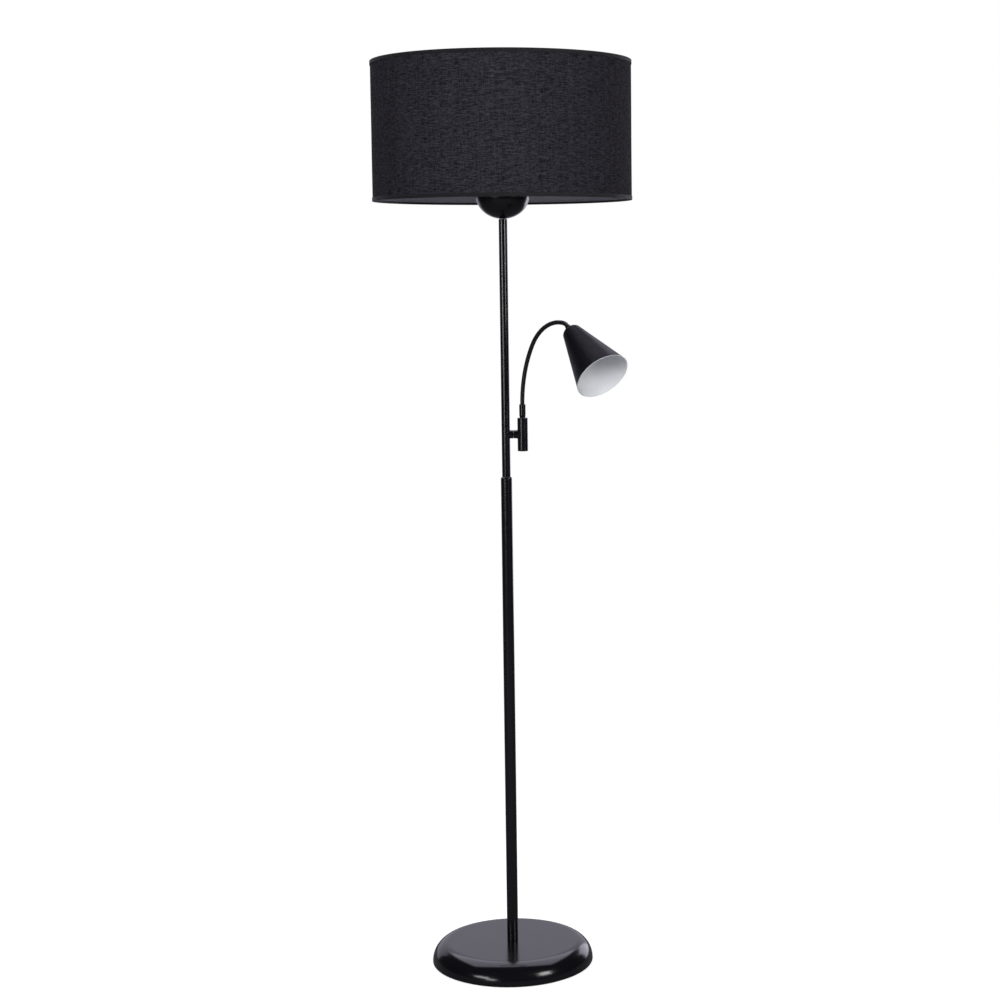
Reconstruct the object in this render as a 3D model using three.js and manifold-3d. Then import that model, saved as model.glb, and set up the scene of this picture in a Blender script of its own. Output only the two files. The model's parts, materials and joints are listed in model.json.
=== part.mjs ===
// Floor lamp with a drum shade and a gooseneck reading light on a heavy round base.
// Millimetres, +Z up. The origin is on the floor on the pole's axis; -Y is the front and
// the reading arm stands off the pole towards +X.

import * as THREE from 'three';
import { mergeVertices } from 'three/addons/utils/BufferGeometryUtils.js';
import Module from 'manifold-3d';

const wasm = await Module();
wasm.setup();

// ---------------------------------------------------------------- driving dimensions

const gap = 0.3; // between pieces that touch

const shadeDiameter = 452;
const shadeBottom = 1368;
const shadeHeight = 238.5;

const baseRadius = 145;
const baseHeight = 40;
const baseEdgeHeight = 5; // where the base is widest
const baseShoulder = 30; // how far the rounded edge reaches in over the top
const baseTuck = 4; // and in under the bottom
const coverWall = 1.5;
const coverLip = 5; // the cover's rolled-in bottom edge
const padThickness = 1.6;

const lowerTube = { radius: 10, wall: 1.2, top: 881 };
const upperTube = { radius: 7.5, wall: 1, top: 1336.6 };
const reducerConeHeight = 4;
const nipple = { radius: 4, bore: 2.4 }; // the hollow threaded rods that tie the lamp together

const bowl = { bottom: upperTube.top + gap, radius: 47, depth: 41.5, lip: 3, wall: 1.5 };

const armHeight = 960.2; // the pivot's axis
const armReach = 29.8; // pole axis to barrel axis
const armRadius = 7.3;
const armSeam = 13; // where the turning collar meets the fixed spacer
const barrel = { radius: 9.25, wall: 1.5, bottom: 930.3, top: 989 };
const pivotScrew = { radius: 3, bore: 1.8 };

const ferrule = { radius: 5.7, bottom: 990.2, top: 1013.2 };
const neckRadius = 3.85;
const neckAzimuth = THREE.MathUtils.degToRad(-54.75);
const neckArcs = [ // from the ferrule to the head, in one upright plane; angles in degrees
  { radius: 191, angle: 32.9 },
  { radius: 91, angle: 64.6 },
  { radius: 22.7, angle: 33.6 },
];
const neckBends = 5; // hinge points that stand for the hose's bending
const neckBallRadius = 4.2;

const headCollar = { radius: 5, length: 11 };
const head = { length: 112.6, mouthRadius: 48, backRadius: 16.3, wall: 1.2 };

// ---------------------------------------------------------------- worked out from them

const shadeRadius = shadeDiameter / 2;
const shadeTop = shadeBottom + shadeHeight;
const plateBottom = padThickness + gap;
const plateTop = plateBottom + coverWall;
const bowlRim = bowl.bottom + bowl.depth + bowl.lip;
const neckLength = neckArcs.reduce(
  (sum, arc) => sum + arc.radius * THREE.MathUtils.degToRad(arc.angle), 0);

// ---------------------------------------------------------------- materials

function finish(color, roughness, metalness = 0) {
  return new THREE.MeshStandardMaterial({ color, roughness, metalness });
}

const blackPaint = finish('#17161a', 0.35, 0.1);
const glossPaint = finish('#1a191e', 0.2, 0.1);
const blackFabric = finish('#2b2a30', 0.95);
const trimTape = finish('#17161b', 0.9);
const whiteLiner = finish('#dcdcdc', 0.8);
const blackHose = finish('#1a1a1c', 0.45);
const blackPlastic = finish('#1b1b1e', 0.5);
const castIron = finish('#4b4b4d', 0.8, 0.6);
const zincSteel = finish('#b4b6b8', 0.4, 0.9);
const brass = finish('#b69650', 0.35, 0.9);
const ceramic = finish('#e8e6e0', 0.5);
const blackRubber = finish('#151515', 0.8);
const greyFelt = finish('#3a3a3c', 1);
const wireSleeve = finish('#202022', 0.6);
const opalGlass = finish('#f4f3ee', 0.3);

// ---------------------------------------------------------------- geometry helpers

const lamp = new THREE.Group();

function add(name, geometry, material, parent = lamp) {
  const mesh = new THREE.Mesh(geometry, material);
  mesh.name = name;
  parent.add(mesh);
  return mesh;
}

// Points [r, z] along an elliptical arc, angles in degrees from +r towards +z.
function arc(r, z, radiusR, radiusZ, from, to, steps) {
  return Array.from({ length: steps + 1 }, (_, i) => {
    const a = THREE.MathUtils.degToRad(from + ((to - from) * i) / steps);
    return [r + radiusR * Math.cos(a), z + radiusZ * Math.sin(a)];
  });
}

// A solid of revolution about Z from an outline [r, z] that runs up outside and down inside.
function turned(outline, segments = 20) {
  const onAxis = outline[0][0] === 0;
  const closed = onAxis ? outline : [...outline, outline[0]];
  const points = closed.map(([r, z]) => new THREE.Vector2(r, z));
  return new THREE.LatheGeometry(points, segments).rotateX(Math.PI / 2);
}

function ring(inner, outer, bottom, top, segments = 20) {
  return turned([[outer, bottom], [outer, top], [inner, top], [inner, bottom]], segments);
}

function rod(radius, bottom, top, segments = 20) {
  return turned([[0, bottom], [radius, bottom], [radius, top], [0, top]], segments);
}

function alongX(geometry) {
  return geometry.rotateY(Math.PI / 2);
}

function wireRing(ringRadius, z, wireRadius, segments) {
  return new THREE.TorusGeometry(ringRadius, wireRadius, 6, segments).translate(0, 0, z);
}

// A hexagonal nut about Z; flats is the size across its flats.
function hexNut(flats, hole, bottom, height) {
  const corner = flats / Math.sqrt(3);
  const outline = new THREE.Shape();
  for (let i = 0; i < 6; i++) {
    const a = (i * Math.PI) / 3;
    const move = i === 0 ? 'moveTo' : 'lineTo';
    outline[move](corner * Math.cos(a), corner * Math.sin(a));
  }
  outline.closePath();
  outline.holes.push(new THREE.Path().absarc(0, 0, hole, 0, 2 * Math.PI, true));
  return new THREE.ExtrudeGeometry(outline, {
    depth: height, bevelEnabled: false, curveSegments: 16,
  }).translate(0, 0, bottom);
}

// A smooth curve whose steps crowd where its own points do, so straight runs stay cheap.
class Route extends THREE.CatmullRomCurve3 {
  constructor(points, tension) {
    super(points.map((p) => new THREE.Vector3(...p)), false, 'catmullrom', tension);
  }

  getSpacedPoints(divisions) {
    return this.getPoints(divisions);
  }

  getTangentAt(t, target) {
    return this.getTangent(t, target);
  }
}

function tubeAlong(curve, radius, sides, steps) {
  const section = new THREE.Shape();
  for (let i = 0; i < sides; i++) {
    const a = (2 * Math.PI * i) / sides;
    const move = i === 0 ? 'moveTo' : 'lineTo';
    section[move](radius * Math.cos(a), radius * Math.sin(a));
  }
  section.closePath();
  return new THREE.ExtrudeGeometry(section, { extrudePath: curve, steps });
}

function solid(geometry) {
  const bare = geometry.clone();
  bare.deleteAttribute('normal');
  bare.deleteAttribute('uv');
  const merged = mergeVertices(bare, 1e-4);
  return new wasm.Manifold(new wasm.Mesh({
    numProp: 3,
    vertProperties: new Float32Array(merged.attributes.position.array),
    triVerts: new Uint32Array(merged.index.array),
  }));
}

function shapeOf(manifold) {
  const mesh = manifold.getMesh();
  const geometry = new THREE.BufferGeometry();
  geometry.setAttribute('position', new THREE.BufferAttribute(mesh.vertProperties, 3));
  geometry.setIndex(new THREE.BufferAttribute(mesh.triVerts, 1));
  return geometry;
}

function cut(geometry, ...tools) {
  return shapeOf(tools.reduce((body, tool) => body.subtract(solid(tool)), solid(geometry)));
}

function join(geometry, ...others) {
  return shapeOf(others.reduce((body, other) => body.add(solid(other)), solid(geometry)));
}

function common(geometry, other) {
  return shapeOf(solid(geometry).intersect(solid(other)));
}

// ---------------------------------------------------------------- base

const baseSegments = 40;
const inletHeight = 13; // the cable inlet in the back of the base
const inletRadius = 5;
const pocket = { radius: 17, top: 24 }; // under the weight, round the tie nut

// The cover's skin from its bottom edge round the tuck and the shoulder to the flat top.
function baseOutline(inset, steps) {
  const shoulderR = baseRadius - baseShoulder;
  const tuckR = baseRadius - baseTuck;
  const tuckZ = baseEdgeHeight - plateBottom - inset;
  const shoulderZ = baseHeight - baseEdgeHeight - inset;
  return [
    ...arc(tuckR, baseEdgeHeight, baseTuck - inset, tuckZ, -90, 0, steps),
    ...arc(shoulderR, baseEdgeHeight, baseShoulder - inset, shoulderZ, 0, 90, 2 * steps).slice(1),
  ];
}

function baseCover() {
  const lipRadius = baseRadius - baseTuck - coverLip;
  const outline = [
    [lipRadius, plateBottom],
    ...baseOutline(0, 3),
    [nipple.radius + gap, baseHeight],
    [nipple.radius + gap, baseHeight - coverWall],
    ...baseOutline(coverWall, 3).reverse(),
    [lipRadius, plateTop],
  ];
  const inlet = rod(inletRadius + gap, 120, 160, 16).rotateX(-Math.PI / 2)
    .translate(0, 0, inletHeight);
  return cut(turned(outline, baseSegments), inlet);
}

// A disc with a boss in the middle that holds the cover up.
function baseWeight() {
  const bottom = plateTop + gap;
  const top = baseHeight - coverWall - gap;
  const disc = { radius: 118, top: 22, bevel: 4 };
  const boss = { foot: 30, top: 24 };
  const outline = [
    [pocket.radius, bottom], [disc.radius, bottom], [disc.radius, disc.top - disc.bevel],
    [disc.radius - disc.bevel, disc.top], [boss.foot, disc.top], [boss.top, top],
    [nipple.radius + gap, top], [nipple.radius + gap, pocket.top], [pocket.radius, pocket.top],
  ];
  const channel = new THREE.BoxGeometry(10, disc.radius + 10, 24)
    .translate(0, (disc.radius + 10) / 2, bottom);
  return cut(turned(outline, 32), channel);
}

function cableGrommet() {
  const sleeve = rod(inletRadius, 129, 147.5, 16);
  const collar = rod(6.8, 136, 147.5, 16);
  const bore = rod(3.2, 120, 160, 16);
  const place = (g) => g.rotateX(-Math.PI / 2).translate(0, 0, inletHeight);
  const body = turned([[0, plateBottom], ...baseOutline(-gap, 3), [0, baseHeight + gap]],
    baseSegments);
  const seated = cut(place(collar), body);
  return cut(join(seated, place(sleeve)), place(bore));
}

function buildBase() {
  const tieNutBottom = 18.9;
  const tieNutHeight = 3;
  const washerBottom = tieNutBottom + tieNutHeight + gap;
  const plateRadius = baseRadius - baseTuck - coverLip - gap;
  add('base_felt_pad', rod(plateRadius + 3, 0, padThickness, baseSegments), greyFelt);
  add('base_plate', rod(plateRadius, plateBottom, plateTop, baseSegments), zincSteel);
  add('base_weight', baseWeight(), castIron);
  add('base_cover', baseCover(), glossPaint);
  add('cable_grommet', cableGrommet(), blackRubber);
  add('base_washer', ring(nipple.radius + gap, 13, washerBottom, pocket.top - gap), zincSteel);
  add('base_nut', hexNut(13, nipple.radius + gap, tieNutBottom, tieNutHeight), zincSteel);
  add('base_nipple', ring(nipple.bore, nipple.radius, 17, 55, 16), zincSteel);
}

// ---------------------------------------------------------------- pole

function tubeReducer() {
  const seat = lowerTube.top + gap;
  const top = seat + reducerConeHeight;
  const lowerSpigot = lowerTube.radius - lowerTube.wall - gap;
  const upperSpigot = upperTube.radius - upperTube.wall - gap;
  return turned([
    [lowerSpigot, seat - 20], [lowerSpigot, seat], [lowerTube.radius, seat],
    [upperTube.radius, top], [upperSpigot, top], [upperSpigot, top + 22],
    [nipple.bore, top + 22], [nipple.bore, seat - 20],
  ]);
}

function upperTubeSolid() {
  const bottom = lowerTube.top + reducerConeHeight + 2 * gap;
  const tube = ring(upperTube.radius - upperTube.wall, upperTube.radius, bottom, upperTube.top);
  const hole = alongX(rod(pivotScrew.radius + gap, 2, 10, 16)).translate(0, 0, armHeight);
  return cut(tube, hole);
}

function bush(tube, bottom, top) {
  return ring(nipple.radius + gap, tube.radius - tube.wall - gap, bottom, top, 20);
}

// The lead from the cable inlet through the base and the pole to the main lampholder.
function poleWire() {
  const sideways = -3.85; // it passes the arm's nut on the far side
  const route = [
    [0, 127, inletHeight], [0, 112, 9], [0, 90, 8], [0, 50, 8], [0, 20, 8], [0, 8, 9],
    [0, 2, 12.5], [0, 0, 18], [0, 0, 60], [0, 0, 860], [0, 0, 912], [sideways / 2, 0, 928],
    [sideways, 0, 944], [sideways, 0, 978], [sideways / 2, 0, 994], [0, 0, 1010],
    [0, 0, 1060], [0, 0, 1300], [0, 0, 1359],
  ];
  return tubeAlong(new Route(route, 0.3), 1.6, 8, 3 * (route.length - 1));
}

function buildPole() {
  const footZ = baseHeight + gap;
  const lower = ring(lowerTube.radius - lowerTube.wall, lowerTube.radius, footZ, lowerTube.top, 28);
  add('lower_tube', lower, blackPaint);
  add('lower_tube_bush', bush(lowerTube, footZ + gap, footZ + 18), zincSteel);
  add('tube_reducer', tubeReducer(), blackPaint);
  add('upper_tube', upperTubeSolid(), blackPaint);
  add('upper_tube_bush', bush(upperTube, upperTube.top - 17, upperTube.top - gap), zincSteel);
  add('pole_wire', poleWire(), wireSleeve);
}

// ---------------------------------------------------------------- bowl, lampholder and bulb

const holder = { radius: 20, wall: 2.2, bottom: 1343, joint: 1368, flange: 1393, top: 1412 };
const flangeThickness = 4.7;
const gallerySeat = holder.flange + flangeThickness + gap;
const galleryThickness = 2;

function bowlSolid() {
  const centreZ = bowl.bottom + bowl.depth;
  const hole = nipple.radius + gap;
  const holeAngle = -THREE.MathUtils.radToDeg(Math.acos(hole / bowl.radius));
  const innerR = bowl.radius - bowl.wall;
  const innerDepth = bowl.depth - bowl.wall;
  return turned([
    ...arc(0, centreZ, bowl.radius, bowl.depth, holeAngle, 0, 7),
    [bowl.radius, bowlRim], [innerR, bowlRim],
    ...arc(0, centreZ, innerR, innerDepth, 0, holeAngle, 4),
  ], 28);
}

function buildLampholder() {
  const inner = holder.radius - holder.wall;
  const nutBottom = bowl.bottom + bowl.wall + 1.3;
  const coreBottom = holder.joint + 4;
  const coreTop = holder.joint + 16;
  add('bowl', bowlSolid(), blackPaint);
  add('bowl_nut', hexNut(13, nipple.radius + gap, nutBottom, 3), zincSteel);
  add('top_nipple', ring(nipple.bore, nipple.radius, upperTube.top - 15, 1357, 16), zincSteel);
  add('lampholder_cap', turned([
    [nipple.radius + gap, holder.bottom], [holder.radius - 4, holder.bottom],
    ...arc(holder.radius - 4, holder.bottom + 4, 4, 4, -90, 0, 3),
    [holder.radius, holder.joint - gap], [inner, holder.joint - gap],
    [inner, holder.bottom + holder.wall + 2], [nipple.radius + gap, holder.bottom + holder.wall],
  ]), blackPlastic);
  add('lampholder_skirt', turned([
    [inner, holder.joint], [holder.radius, holder.joint],
    [holder.radius, holder.flange], [holder.radius + 3.5, holder.flange],
    [holder.radius + 3.5, holder.flange + flangeThickness],
    [holder.radius, holder.flange + flangeThickness],
    [holder.radius, holder.top], [inner, holder.top],
  ]), blackPlastic);
  add('lampholder_core', rod(inner - gap, coreBottom, coreTop), ceramic);
  add('lampholder_shell', ring(14, 14.6, coreTop + gap, holder.top - 3), brass);
  add('shade_ring_nut', ring(
    holder.radius + gap, 24.5, gallerySeat + galleryThickness + gap, holder.top - 4), blackPlastic);
}

function buildBulb() {
  const capBottom = holder.joint + 18;
  const capTop = holder.top - 1;
  const housingTop = capTop + 27;
  const globeR = 30;
  const globeZ = housingTop + gap + 14;
  const mouthAngle = -28;
  const wall = 1.6;
  add('bulb_screw_cap', turned([
    [0, capBottom], [4.5, capBottom], [12, capBottom + 4.5], [13.2, capBottom + 6],
    [13.2, capTop], [0, capTop],
  ]), brass);
  add('bulb_housing', turned([
    [0, capTop + gap], [14, capTop + gap], [17, capTop + 8], [26, housingTop], [0, housingTop],
  ]), ceramic);
  const dome = (r, angle) => turned([
    [0, globeZ + r * Math.sin(THREE.MathUtils.degToRad(angle))],
    ...arc(0, globeZ, r, r, angle, 90, 6).slice(0, -1), [0, globeZ + r],
  ], 18);
  add('bulb_globe', cut(dome(globeR, mouthAngle), dome(globeR - wall, mouthAngle - 10)), opalGlass);
}

// ---------------------------------------------------------------- shade

const shadeSegments = 40;
const tape = { thickness: 0.5, outside: 6.4, inside: 3.6 };
const wireRadius = 1.25;

function buildShade() {
  const skinOuter = shadeRadius - tape.thickness - gap;
  const skinInner = skinOuter - 1;
  const linerOuter = skinInner - gap;
  const linerInner = linerOuter - 0.7;
  const edge = tape.thickness + gap;
  const low = shadeBottom + edge;
  const high = shadeTop - edge;
  const wireR = linerInner - gap - wireRadius;
  const tapeInner = wireR - wireRadius - gap - tape.thickness;

  add('shade_fabric', ring(skinInner, skinOuter, low, high, shadeSegments), blackFabric);
  add('shade_liner', ring(linerInner, linerOuter, low, high, shadeSegments), whiteLiner);
  add('shade_ring_bottom', wireRing(wireR, low + wireRadius, wireRadius, shadeSegments), zincSteel);
  add('shade_ring_top', wireRing(wireR, high - wireRadius, wireRadius, shadeSegments), zincSteel);

  // The edging tape is a channel: up the outside, under the edge and up the inside.
  const channel = [
    [tapeInner, 0], [shadeRadius, 0], [shadeRadius, tape.outside],
    [shadeRadius - tape.thickness, tape.outside], [shadeRadius - tape.thickness, tape.thickness],
    [tapeInner + tape.thickness, tape.thickness], [tapeInner + tape.thickness, tape.inside],
    [tapeInner, tape.inside],
  ];
  const under = channel.map(([r, z]) => [r, shadeBottom + z]);
  const over = channel.map(([r, z]) => [r, shadeTop - z]).reverse();
  add('shade_trim_bottom', turned(under, shadeSegments), trimTape);
  add('shade_trim_top', turned(over, shadeSegments), trimTape);

  const galleryOuter = 28;
  add('shade_gallery', ring(
    holder.radius + gap, galleryOuter, gallerySeat, gallerySeat + galleryThickness, 28), zincSteel);

  // Three wires carry the gallery from the bottom ring.
  const armWire = 1.5;
  const armFootZ = low + 2 * wireRadius + gap + armWire;
  const armHeadZ = gallerySeat + galleryThickness / 2;
  const armRoute = new Route([
    [wireR, 0, armFootZ], [208, 0, armFootZ], [204, 0, armFootZ + 0.5],
    [42, 0, armHeadZ - 0.5], [38, 0, armHeadZ], [galleryOuter + gap, 0, armHeadZ],
  ], 0.2);
  for (let i = 0; i < 3; i++) {
    const wire = tubeAlong(armRoute, armWire, 8, 10);
    const azimuth = Math.PI / 2 + (i * 2 * Math.PI) / 3;
    add(`shade_arm_${i + 1}`, wire.rotateZ(azimuth), zincSteel);
  }
}

// ---------------------------------------------------------------- arm

function buildArm() {
  const hole = pivotScrew.radius + gap;
  const tubeInner = upperTube.radius - upperTube.wall;
  const atArm = (g) => alongX(g).translate(0, 0, armHeight);
  const pole = (r) => rod(r, armHeight - 30, armHeight + 30, 28);
  const barrelCore = (r) => pole(r).translate(armReach, 0, 0);
  const barrelInner = barrel.radius - barrel.wall;
  const nutFlats = 8.6;
  const nutHeight = 2.5;
  const poleNutX = -1.2;
  const barrelNutX = armReach - 5.5;
  const screwEnd = 0.4; // the pivot screw stands this far out of its nuts

  add('arm_spacer', cut(atArm(ring(hole, armRadius, 2, armSeam)),
    pole(upperTube.radius + gap)), blackPaint);
  add('pivot_nipple', atArm(ring(
    pivotScrew.bore, pivotScrew.radius, poleNutX - screwEnd, barrelNutX + nutHeight + screwEnd, 16,
  )), zincSteel);
  add('pivot_nut', atArm(hexNut(nutFlats, hole, poleNutX, nutHeight)), zincSteel);
  add('pivot_washer', common(
    atArm(ring(hole, 4.6, poleNutX + nutHeight + gap, 9)), pole(tubeInner - gap)), zincSteel);

  add('arm_collar', cut(atArm(ring(hole, armRadius, armSeam + gap, armReach)),
    barrelCore(barrel.radius + gap)), blackPaint);
  const rim = 5;
  const shell = turned([
    [barrelInner, barrel.bottom + 2], [barrel.radius, barrel.bottom + 2],
    [barrel.radius, barrel.top - 0.4], [barrel.radius - 0.4, barrel.top], [rim, barrel.top],
    [rim, barrel.top - 3], [barrelInner, barrel.top - 3],
  ]).translate(armReach, 0, 0);
  const passage = atArm(rod(hole, 15, armReach - 4, 16));
  add('arm_barrel', cut(shell, passage), blackPaint);
  add('barrel_washer', common(
    atArm(ring(hole, 4.6, 15, barrelNutX - gap)), barrelCore(barrelInner - gap)), zincSteel);
  add('barrel_nut', atArm(hexNut(nutFlats, hole, barrelNutX, nutHeight)), zincSteel);
  add('barrel_cap', turned([
    [0, barrel.bottom], [barrel.radius - 2, barrel.bottom],
    [barrel.radius - 0.6, barrel.bottom + 0.6], [barrel.radius, barrel.bottom + 2 - gap],
    [barrelInner - gap, barrel.bottom + 2 - gap], [barrelInner - gap, barrel.bottom + 8],
    [0, barrel.bottom + 8],
  ]).translate(armReach, 0, 0), blackPaint);
  add('swivel_washer', ring(rim, ferrule.radius - 0.5, barrel.top + gap, ferrule.bottom - gap)
    .translate(armReach, 0, 0), blackPlastic);
}

// ---------------------------------------------------------------- gooseneck

const neckFrom = new THREE.Vector3(armReach, 0, ferrule.top);
const neckOut = new THREE.Vector3(Math.cos(neckAzimuth), Math.sin(neckAzimuth), 0);

// The point s millimetres out of the ferrule and the neck's direction there.
function neckAt(s) {
  let out = 0;
  let up = 0;
  let elevation = Math.PI / 2;
  let left = s;
  for (const { radius, angle } of neckArcs) {
    const turn = Math.min(left / radius, THREE.MathUtils.degToRad(angle));
    out += radius * (Math.sin(elevation) - Math.sin(elevation - turn));
    up += radius * (Math.cos(elevation - turn) - Math.cos(elevation));
    elevation -= turn;
    left -= turn * radius;
  }
  const upright = new THREE.Vector3(0, 0, 1);
  return {
    point: neckFrom.clone().addScaledVector(neckOut, out).addScaledVector(upright, up),
    direction: neckOut.clone().multiplyScalar(Math.cos(elevation))
      .addScaledVector(upright, Math.sin(elevation)),
  };
}

class NeckStretch extends THREE.Curve {
  constructor(from, to) {
    super();
    this.from = from;
    this.to = to;
  }

  getPoint(t, target = new THREE.Vector3()) {
    return target.copy(neckAt(this.from + t * (this.to - this.from)).point);
  }
}

// One link of the neck. A ball at its start turns inside the gap left by the link before it.
function neckLink(index) {
  const pitch = neckLength / neckBends;
  const first = index === 0;
  const last = index === neckBends;
  const from = first ? gap : (index - 0.5) * pitch;
  const to = last ? neckLength - gap : (index + 0.5) * pitch - neckBallRadius - gap;
  const steps = first || last ? 4 : 6;
  const tube = tubeAlong(new NeckStretch(from, to), neckRadius, 10, steps);
  if (first) return tube;
  const centre = neckAt(from).point;
  return join(tube, new THREE.SphereGeometry(neckBallRadius, 10, 6)
    .translate(centre.x, centre.y, centre.z));
}

function buildNeck() {
  const spigotBottom = 970;
  const spigotRadius = 4.7;
  const bore = 2;
  add('neck_ferrule', turned([
    [bore, spigotBottom], [spigotRadius, spigotBottom], [spigotRadius, ferrule.bottom],
    [ferrule.radius - 1, ferrule.bottom], [ferrule.radius, ferrule.bottom + 2],
    [ferrule.radius, ferrule.top - 2.5], [ferrule.radius - 1.2, ferrule.top], [bore, ferrule.top],
  ]).translate(armReach, 0, 0), blackPaint);
  const nutTop = barrel.top - 3 - gap;
  add('swivel_nut', hexNut(12.2, spigotRadius + gap, nutTop - 3.5, 3.5)
    .translate(armReach, 0, 0), zincSteel);
  for (let i = 0; i <= neckBends; i++) add(`neck_link_${i + 1}`, neckLink(i), blackHose);
}

// ---------------------------------------------------------------- reading head

// Inside this group +Z runs from the head's closed back to its mouth.
function buildHead() {
  const group = new THREE.Group();
  const { point, direction } = neckAt(neckLength);
  group.quaternion.setFromUnitVectors(new THREE.Vector3(0, 0, 1), direction);
  group.position.copy(point);
  lamp.add(group);

  const spigot = { radius: 4, length: 4.6 };
  const start = headCollar.length + gap; // the cone's closed back
  const hole = spigot.radius + gap;
  const coneTop = start + head.length;
  const at = (t) => start + t;

  add('head_cone', turned([
    [hole, at(head.wall + 0.2)], [10, at(head.wall + 0.2)], [head.backRadius - head.wall, at(4.4)],
    [head.mouthRadius - head.wall, coneTop], [head.mouthRadius, coneTop],
    [head.backRadius, at(4)], [head.backRadius - 1.4, at(1.2)], [head.backRadius - 4, at(0)],
    [hole, at(0)],
  ].reverse(), 32), blackPaint, group);
  add('head_collar', turned([
    [0, gap], [headCollar.radius - 0.8, gap], [headCollar.radius, gap + 0.8],
    [headCollar.radius, headCollar.length], [spigot.radius, headCollar.length],
    [spigot.radius, start + spigot.length], [0, start + spigot.length],
  ]), blackPaint, group);
  const nutBottom = at(head.wall + 0.2 + gap);
  add('head_nut', hexNut(11, hole, nutBottom, 2.6), zincSteel, group);

  // Twist-lock spot bulb in its ceramic holder; its two pins stand in the holder's sockets.
  const holderBottom = at(5);
  const holderTop = at(17);
  const pinSpread = 5;
  const sockets = [-1, 1].map((side) => rod(2.8, holderTop - 9, holderTop + 1, 12)
    .translate(side * pinSpread, 0, 0));
  const pins = [-1, 1].map((side) => rod(2.3, holderTop - 7, holderTop + 3, 12)
    .translate(side * pinSpread, 0, 0));
  add('spot_lampholder', cut(turned([
    [0, holderBottom], [9.5, holderBottom], [11.5, holderBottom + 2], [11.5, holderTop],
    [0, holderTop],
  ]), ...sockets), ceramic, group);
  const bulbBack = holderTop + gap;
  const bulbFront = bulbBack + 37;
  const bulbRadius = 17.5;
  const lensRadius = 16;
  add('spot_bulb_body', join(turned([
    [0, bulbBack], [9, bulbBack], [9.5, bulbBack + 10], [12.5, bulbBack + 18],
    [bulbRadius, bulbFront - 4], [bulbRadius, bulbFront], [0, bulbFront],
  ]), ...pins), ceramic, group);
  add('spot_bulb_lens', turned([
    [0, bulbFront + gap], [lensRadius, bulbFront + gap], [lensRadius, bulbFront + 1.5],
    [lensRadius - 2.5, bulbFront + 2.5], [0, bulbFront + 3],
  ]), opalGlass, group);
}

buildBase();
buildPole();
buildLampholder();
buildBulb();
buildShade();
buildArm();
buildNeck();
buildHead();

export default lamp;
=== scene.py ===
"""Looks for the floor lamp: a drum shade on a two-part pole, a gooseneck reading light and a
heavy round base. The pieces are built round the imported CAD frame. Sizes are millimetres, and
add_mesh() turns them into the frame's metres."""

import json
import math

import bpy
from mathutils import Matrix, Vector


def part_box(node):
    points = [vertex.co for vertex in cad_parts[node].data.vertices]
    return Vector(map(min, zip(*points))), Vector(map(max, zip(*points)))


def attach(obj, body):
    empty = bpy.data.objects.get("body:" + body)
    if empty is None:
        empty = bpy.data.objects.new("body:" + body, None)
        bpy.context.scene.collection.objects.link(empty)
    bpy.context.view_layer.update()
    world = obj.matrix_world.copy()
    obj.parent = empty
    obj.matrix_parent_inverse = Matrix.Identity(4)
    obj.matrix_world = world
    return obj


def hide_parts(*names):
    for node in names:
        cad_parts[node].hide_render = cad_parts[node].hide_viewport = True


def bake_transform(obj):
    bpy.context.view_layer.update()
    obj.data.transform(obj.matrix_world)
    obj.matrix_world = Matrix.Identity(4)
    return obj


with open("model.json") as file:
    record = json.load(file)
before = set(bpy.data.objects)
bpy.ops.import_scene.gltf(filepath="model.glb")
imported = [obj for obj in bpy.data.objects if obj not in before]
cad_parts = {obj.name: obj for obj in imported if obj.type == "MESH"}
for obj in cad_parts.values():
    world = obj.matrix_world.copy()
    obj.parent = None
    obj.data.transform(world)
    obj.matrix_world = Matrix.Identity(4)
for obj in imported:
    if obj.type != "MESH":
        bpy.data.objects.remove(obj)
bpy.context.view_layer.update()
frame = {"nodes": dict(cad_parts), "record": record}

MM = 0.001
IN_PLACE = Matrix.Identity(4)


# ---------------------------------------------------------------- camera, light and floor

CAMERA_PLACE = (-0.070, -3.5422, 1.2502)
CAMERA_LENS = 72.385
CAMERA_PITCH = math.radians(6.577)  # down
CAMERA_YAW = math.radians(3.805)  # towards +X
CAMERA_ROLL = math.radians(-0.483)
CAMERA_SHIFT = -0.1  # the lamp stands left of the middle of the lens


def add_camera():
    """The camera stands 3.5 m in front of the lamp and looks slightly down on it."""
    data = bpy.data.cameras.new("camera")
    data.lens = CAMERA_LENS
    data.sensor_width = 36
    data.shift_x = CAMERA_SHIFT
    camera = bpy.data.objects.new("camera", data)
    camera.matrix_world = (
        Matrix.Translation(CAMERA_PLACE)
        @ Matrix.Rotation(-CAMERA_YAW, 4, "Z")
        @ Matrix.Rotation(math.pi / 2 - CAMERA_PITCH, 4, "X")
        @ Matrix.Rotation(CAMERA_ROLL, 4, "Z")
    )
    bpy.context.scene.collection.objects.link(camera)
    bpy.context.scene.camera = camera


def add_softbox(name, place, aim, size, radiance, tint=(1, 1, 1)):
    """A rectangular light that the camera doesn't see; radiance 1 looks as bright as white paper."""
    data = bpy.data.lights.new(name, "AREA")
    data.shape = "RECTANGLE"
    data.size, data.size_y = size
    data.energy = radiance * math.pi * size[0] * size[1]
    data.color = tint
    light = bpy.data.objects.new(name, data)
    turn = (Vector(aim) - Vector(place)).to_track_quat("-Z", "Y")
    light.matrix_world = Matrix.Translation(place) @ turn.to_matrix().to_4x4()
    light.visible_camera = False
    bpy.context.scene.collection.objects.link(light)
    return light


def around(azimuth, elevation, distance, centre):
    """A point seen from centre at that azimuth from the front (-Y) towards +X, in degrees."""
    a, e = math.radians(azimuth), math.radians(elevation)
    step = Vector((math.sin(a) * math.cos(e), -math.cos(a) * math.cos(e), math.sin(e)))
    return Vector(centre) + step * distance


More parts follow.
